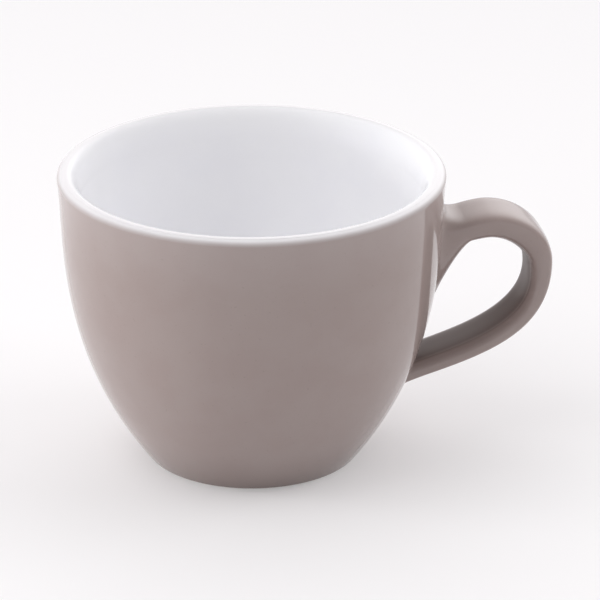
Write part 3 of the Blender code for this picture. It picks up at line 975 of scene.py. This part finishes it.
class CUP_OT_base_glaze(bpy.types.Operator):
    """The thin coat on the ceiling of the foot's recess, with a rolled rim"""

    bl_idname = "espresso_cup.base_glaze"
    bl_label = "Base Glaze"

    def execute(self, context):
        settings = context.scene.espresso_cup
        cup = settings.cup
        half = cup.glaze / 2.0
        rim = cup.wall_foot_radius - cup.foot_inset - cup.ring_width - cup.ring_taper - cup.glaze
        top = np.array([[0.0, cup.recess]])
        up = math.pi / 2.0
        edge = arc_line((rim - half, cup.recess - half), half, up, -up, ROLLED_EDGE_POINTS)
        radii = np.linspace(rim - half, 0.0, RECESS_POINTS)[1:]
        under = np.stack([radii, np.full_like(radii, cup.recess - cup.glaze)], axis=1)
        profile = np.concatenate([top, edge, under])
        item = skin("base_glaze_coat", turned(profile), False, base_glaze(settings.finish))
        place(item, "base_glaze")
        return {"FINISHED"}


class CUP_OT_handle_glaze(bpy.types.Operator):
    """The taupe coat round the strap handle and the fillets at its roots"""

    bl_idname = "espresso_cup.handle_glaze"
    bl_label = "Handle Glaze"

    def execute(self, context):
        settings = context.scene.espresso_cup
        cup = settings.cup
        handle = settings.handle
        face = handle_rows(cup, handle, 0.0, handle.seat)
        back = handle_rows(cup, handle, cup.glaze, cup.glaze)
        rows = np.concatenate([face, back[::-BACK_ROW_STEP]])
        # Painted shade: its share grows to full across the strap's inner face
        inward = np.clip((-np.cos(section_angles()) - SHADE_START) / SHADE_SPAN, 0.0, 1.0)
        shade_share = np.broadcast_to(inward, rows.shape[:2])
        item = skin("handle_glaze_coat", rows, True, bpy.data.materials[TAUPE_FINISH], shade_share)
        place(item, "handle_glaze")
        return {"FINISHED"}


class CUP_OT_joint_clay(bpy.types.Operator):
    """The clay strap and the beads of slip under the handle's glaze, which keep their solids"""

    bl_idname = "espresso_cup.joint_clay"
    bl_label = "Joint Clay"

    def execute(self, context):
        finish = context.scene.espresso_cup.finish
        strap = fired_clay("strap_finish", finish.clay, finish.clay_grain)
        slip = fired_clay("slip_finish", finish.slip, finish.clay_grain)
        for node, material in (("handle", strap), ("upper_slip_joint", slip), ("lower_slip_joint", slip)):
            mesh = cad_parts[node].data
            mesh.materials.clear()
            mesh.materials.append(material)
        return {"FINISHED"}


class CUP_OT_studio(bpy.types.Operator):
    """The floor, the light from all round, the lamps and the camera"""

    bl_idname = "espresso_cup.studio"
    bl_label = "Studio"

    def execute(self, context):
        settings = context.scene.espresso_cup
        studio = settings.studio
        make_floor(studio)
        make_sky(context.scene, studio)
        make_lamps(studio)
        make_camera(context.scene, settings.cup, studio)
        context.scene.view_settings.view_transform = "Standard"
        return {"FINISHED"}


GROUPS = {"cup": CupShape, "handle": HandleShape, "finish": CupFinish, "studio": StudioShape}

OPERATORS = (
    CUP_OT_outer_glaze,
    CUP_OT_inner_glaze,
    CUP_OT_clay_body,
    CUP_OT_base_glaze,
    CUP_OT_handle_glaze,
    CUP_OT_joint_clay,
    CUP_OT_studio,
)


class CUP_PT_panel(bpy.types.Panel):
    """Lists the cup's sizes and finishes, its pieces and the studio"""

    bl_idname = "CUP_PT_panel"
    bl_label = "Espresso Cup"
    bl_space_type = "VIEW_3D"
    bl_region_type = "UI"
    bl_category = "Espresso Cup"

    def draw(self, context):
        settings = context.scene.espresso_cup
        for name, group in GROUPS.items():
            box = self.layout.box()
            for setting in group.__annotations__:
                box.prop(getattr(settings, name), setting)
        for operator in OPERATORS:
            self.layout.operator(operator.bl_idname)


CLASSES = (*GROUPS.values(), EspressoCup, *OPERATORS, CUP_PT_panel)


def register():
    for item in CLASSES:
        bpy.utils.register_class(item)
    bpy.types.Scene.espresso_cup = bpy.props.PointerProperty(type=EspressoCup)


def unregister():
    del bpy.types.Scene.espresso_cup
    for item in reversed(CLASSES):
        bpy.utils.unregister_class(item)


def main():
    """Make every piece in order."""
    register()
    for operator in OPERATORS:
        group, name = operator.bl_idname.split(".")
        getattr(getattr(bpy.ops, group), name)()


if __name__ == "__main__":
    main()
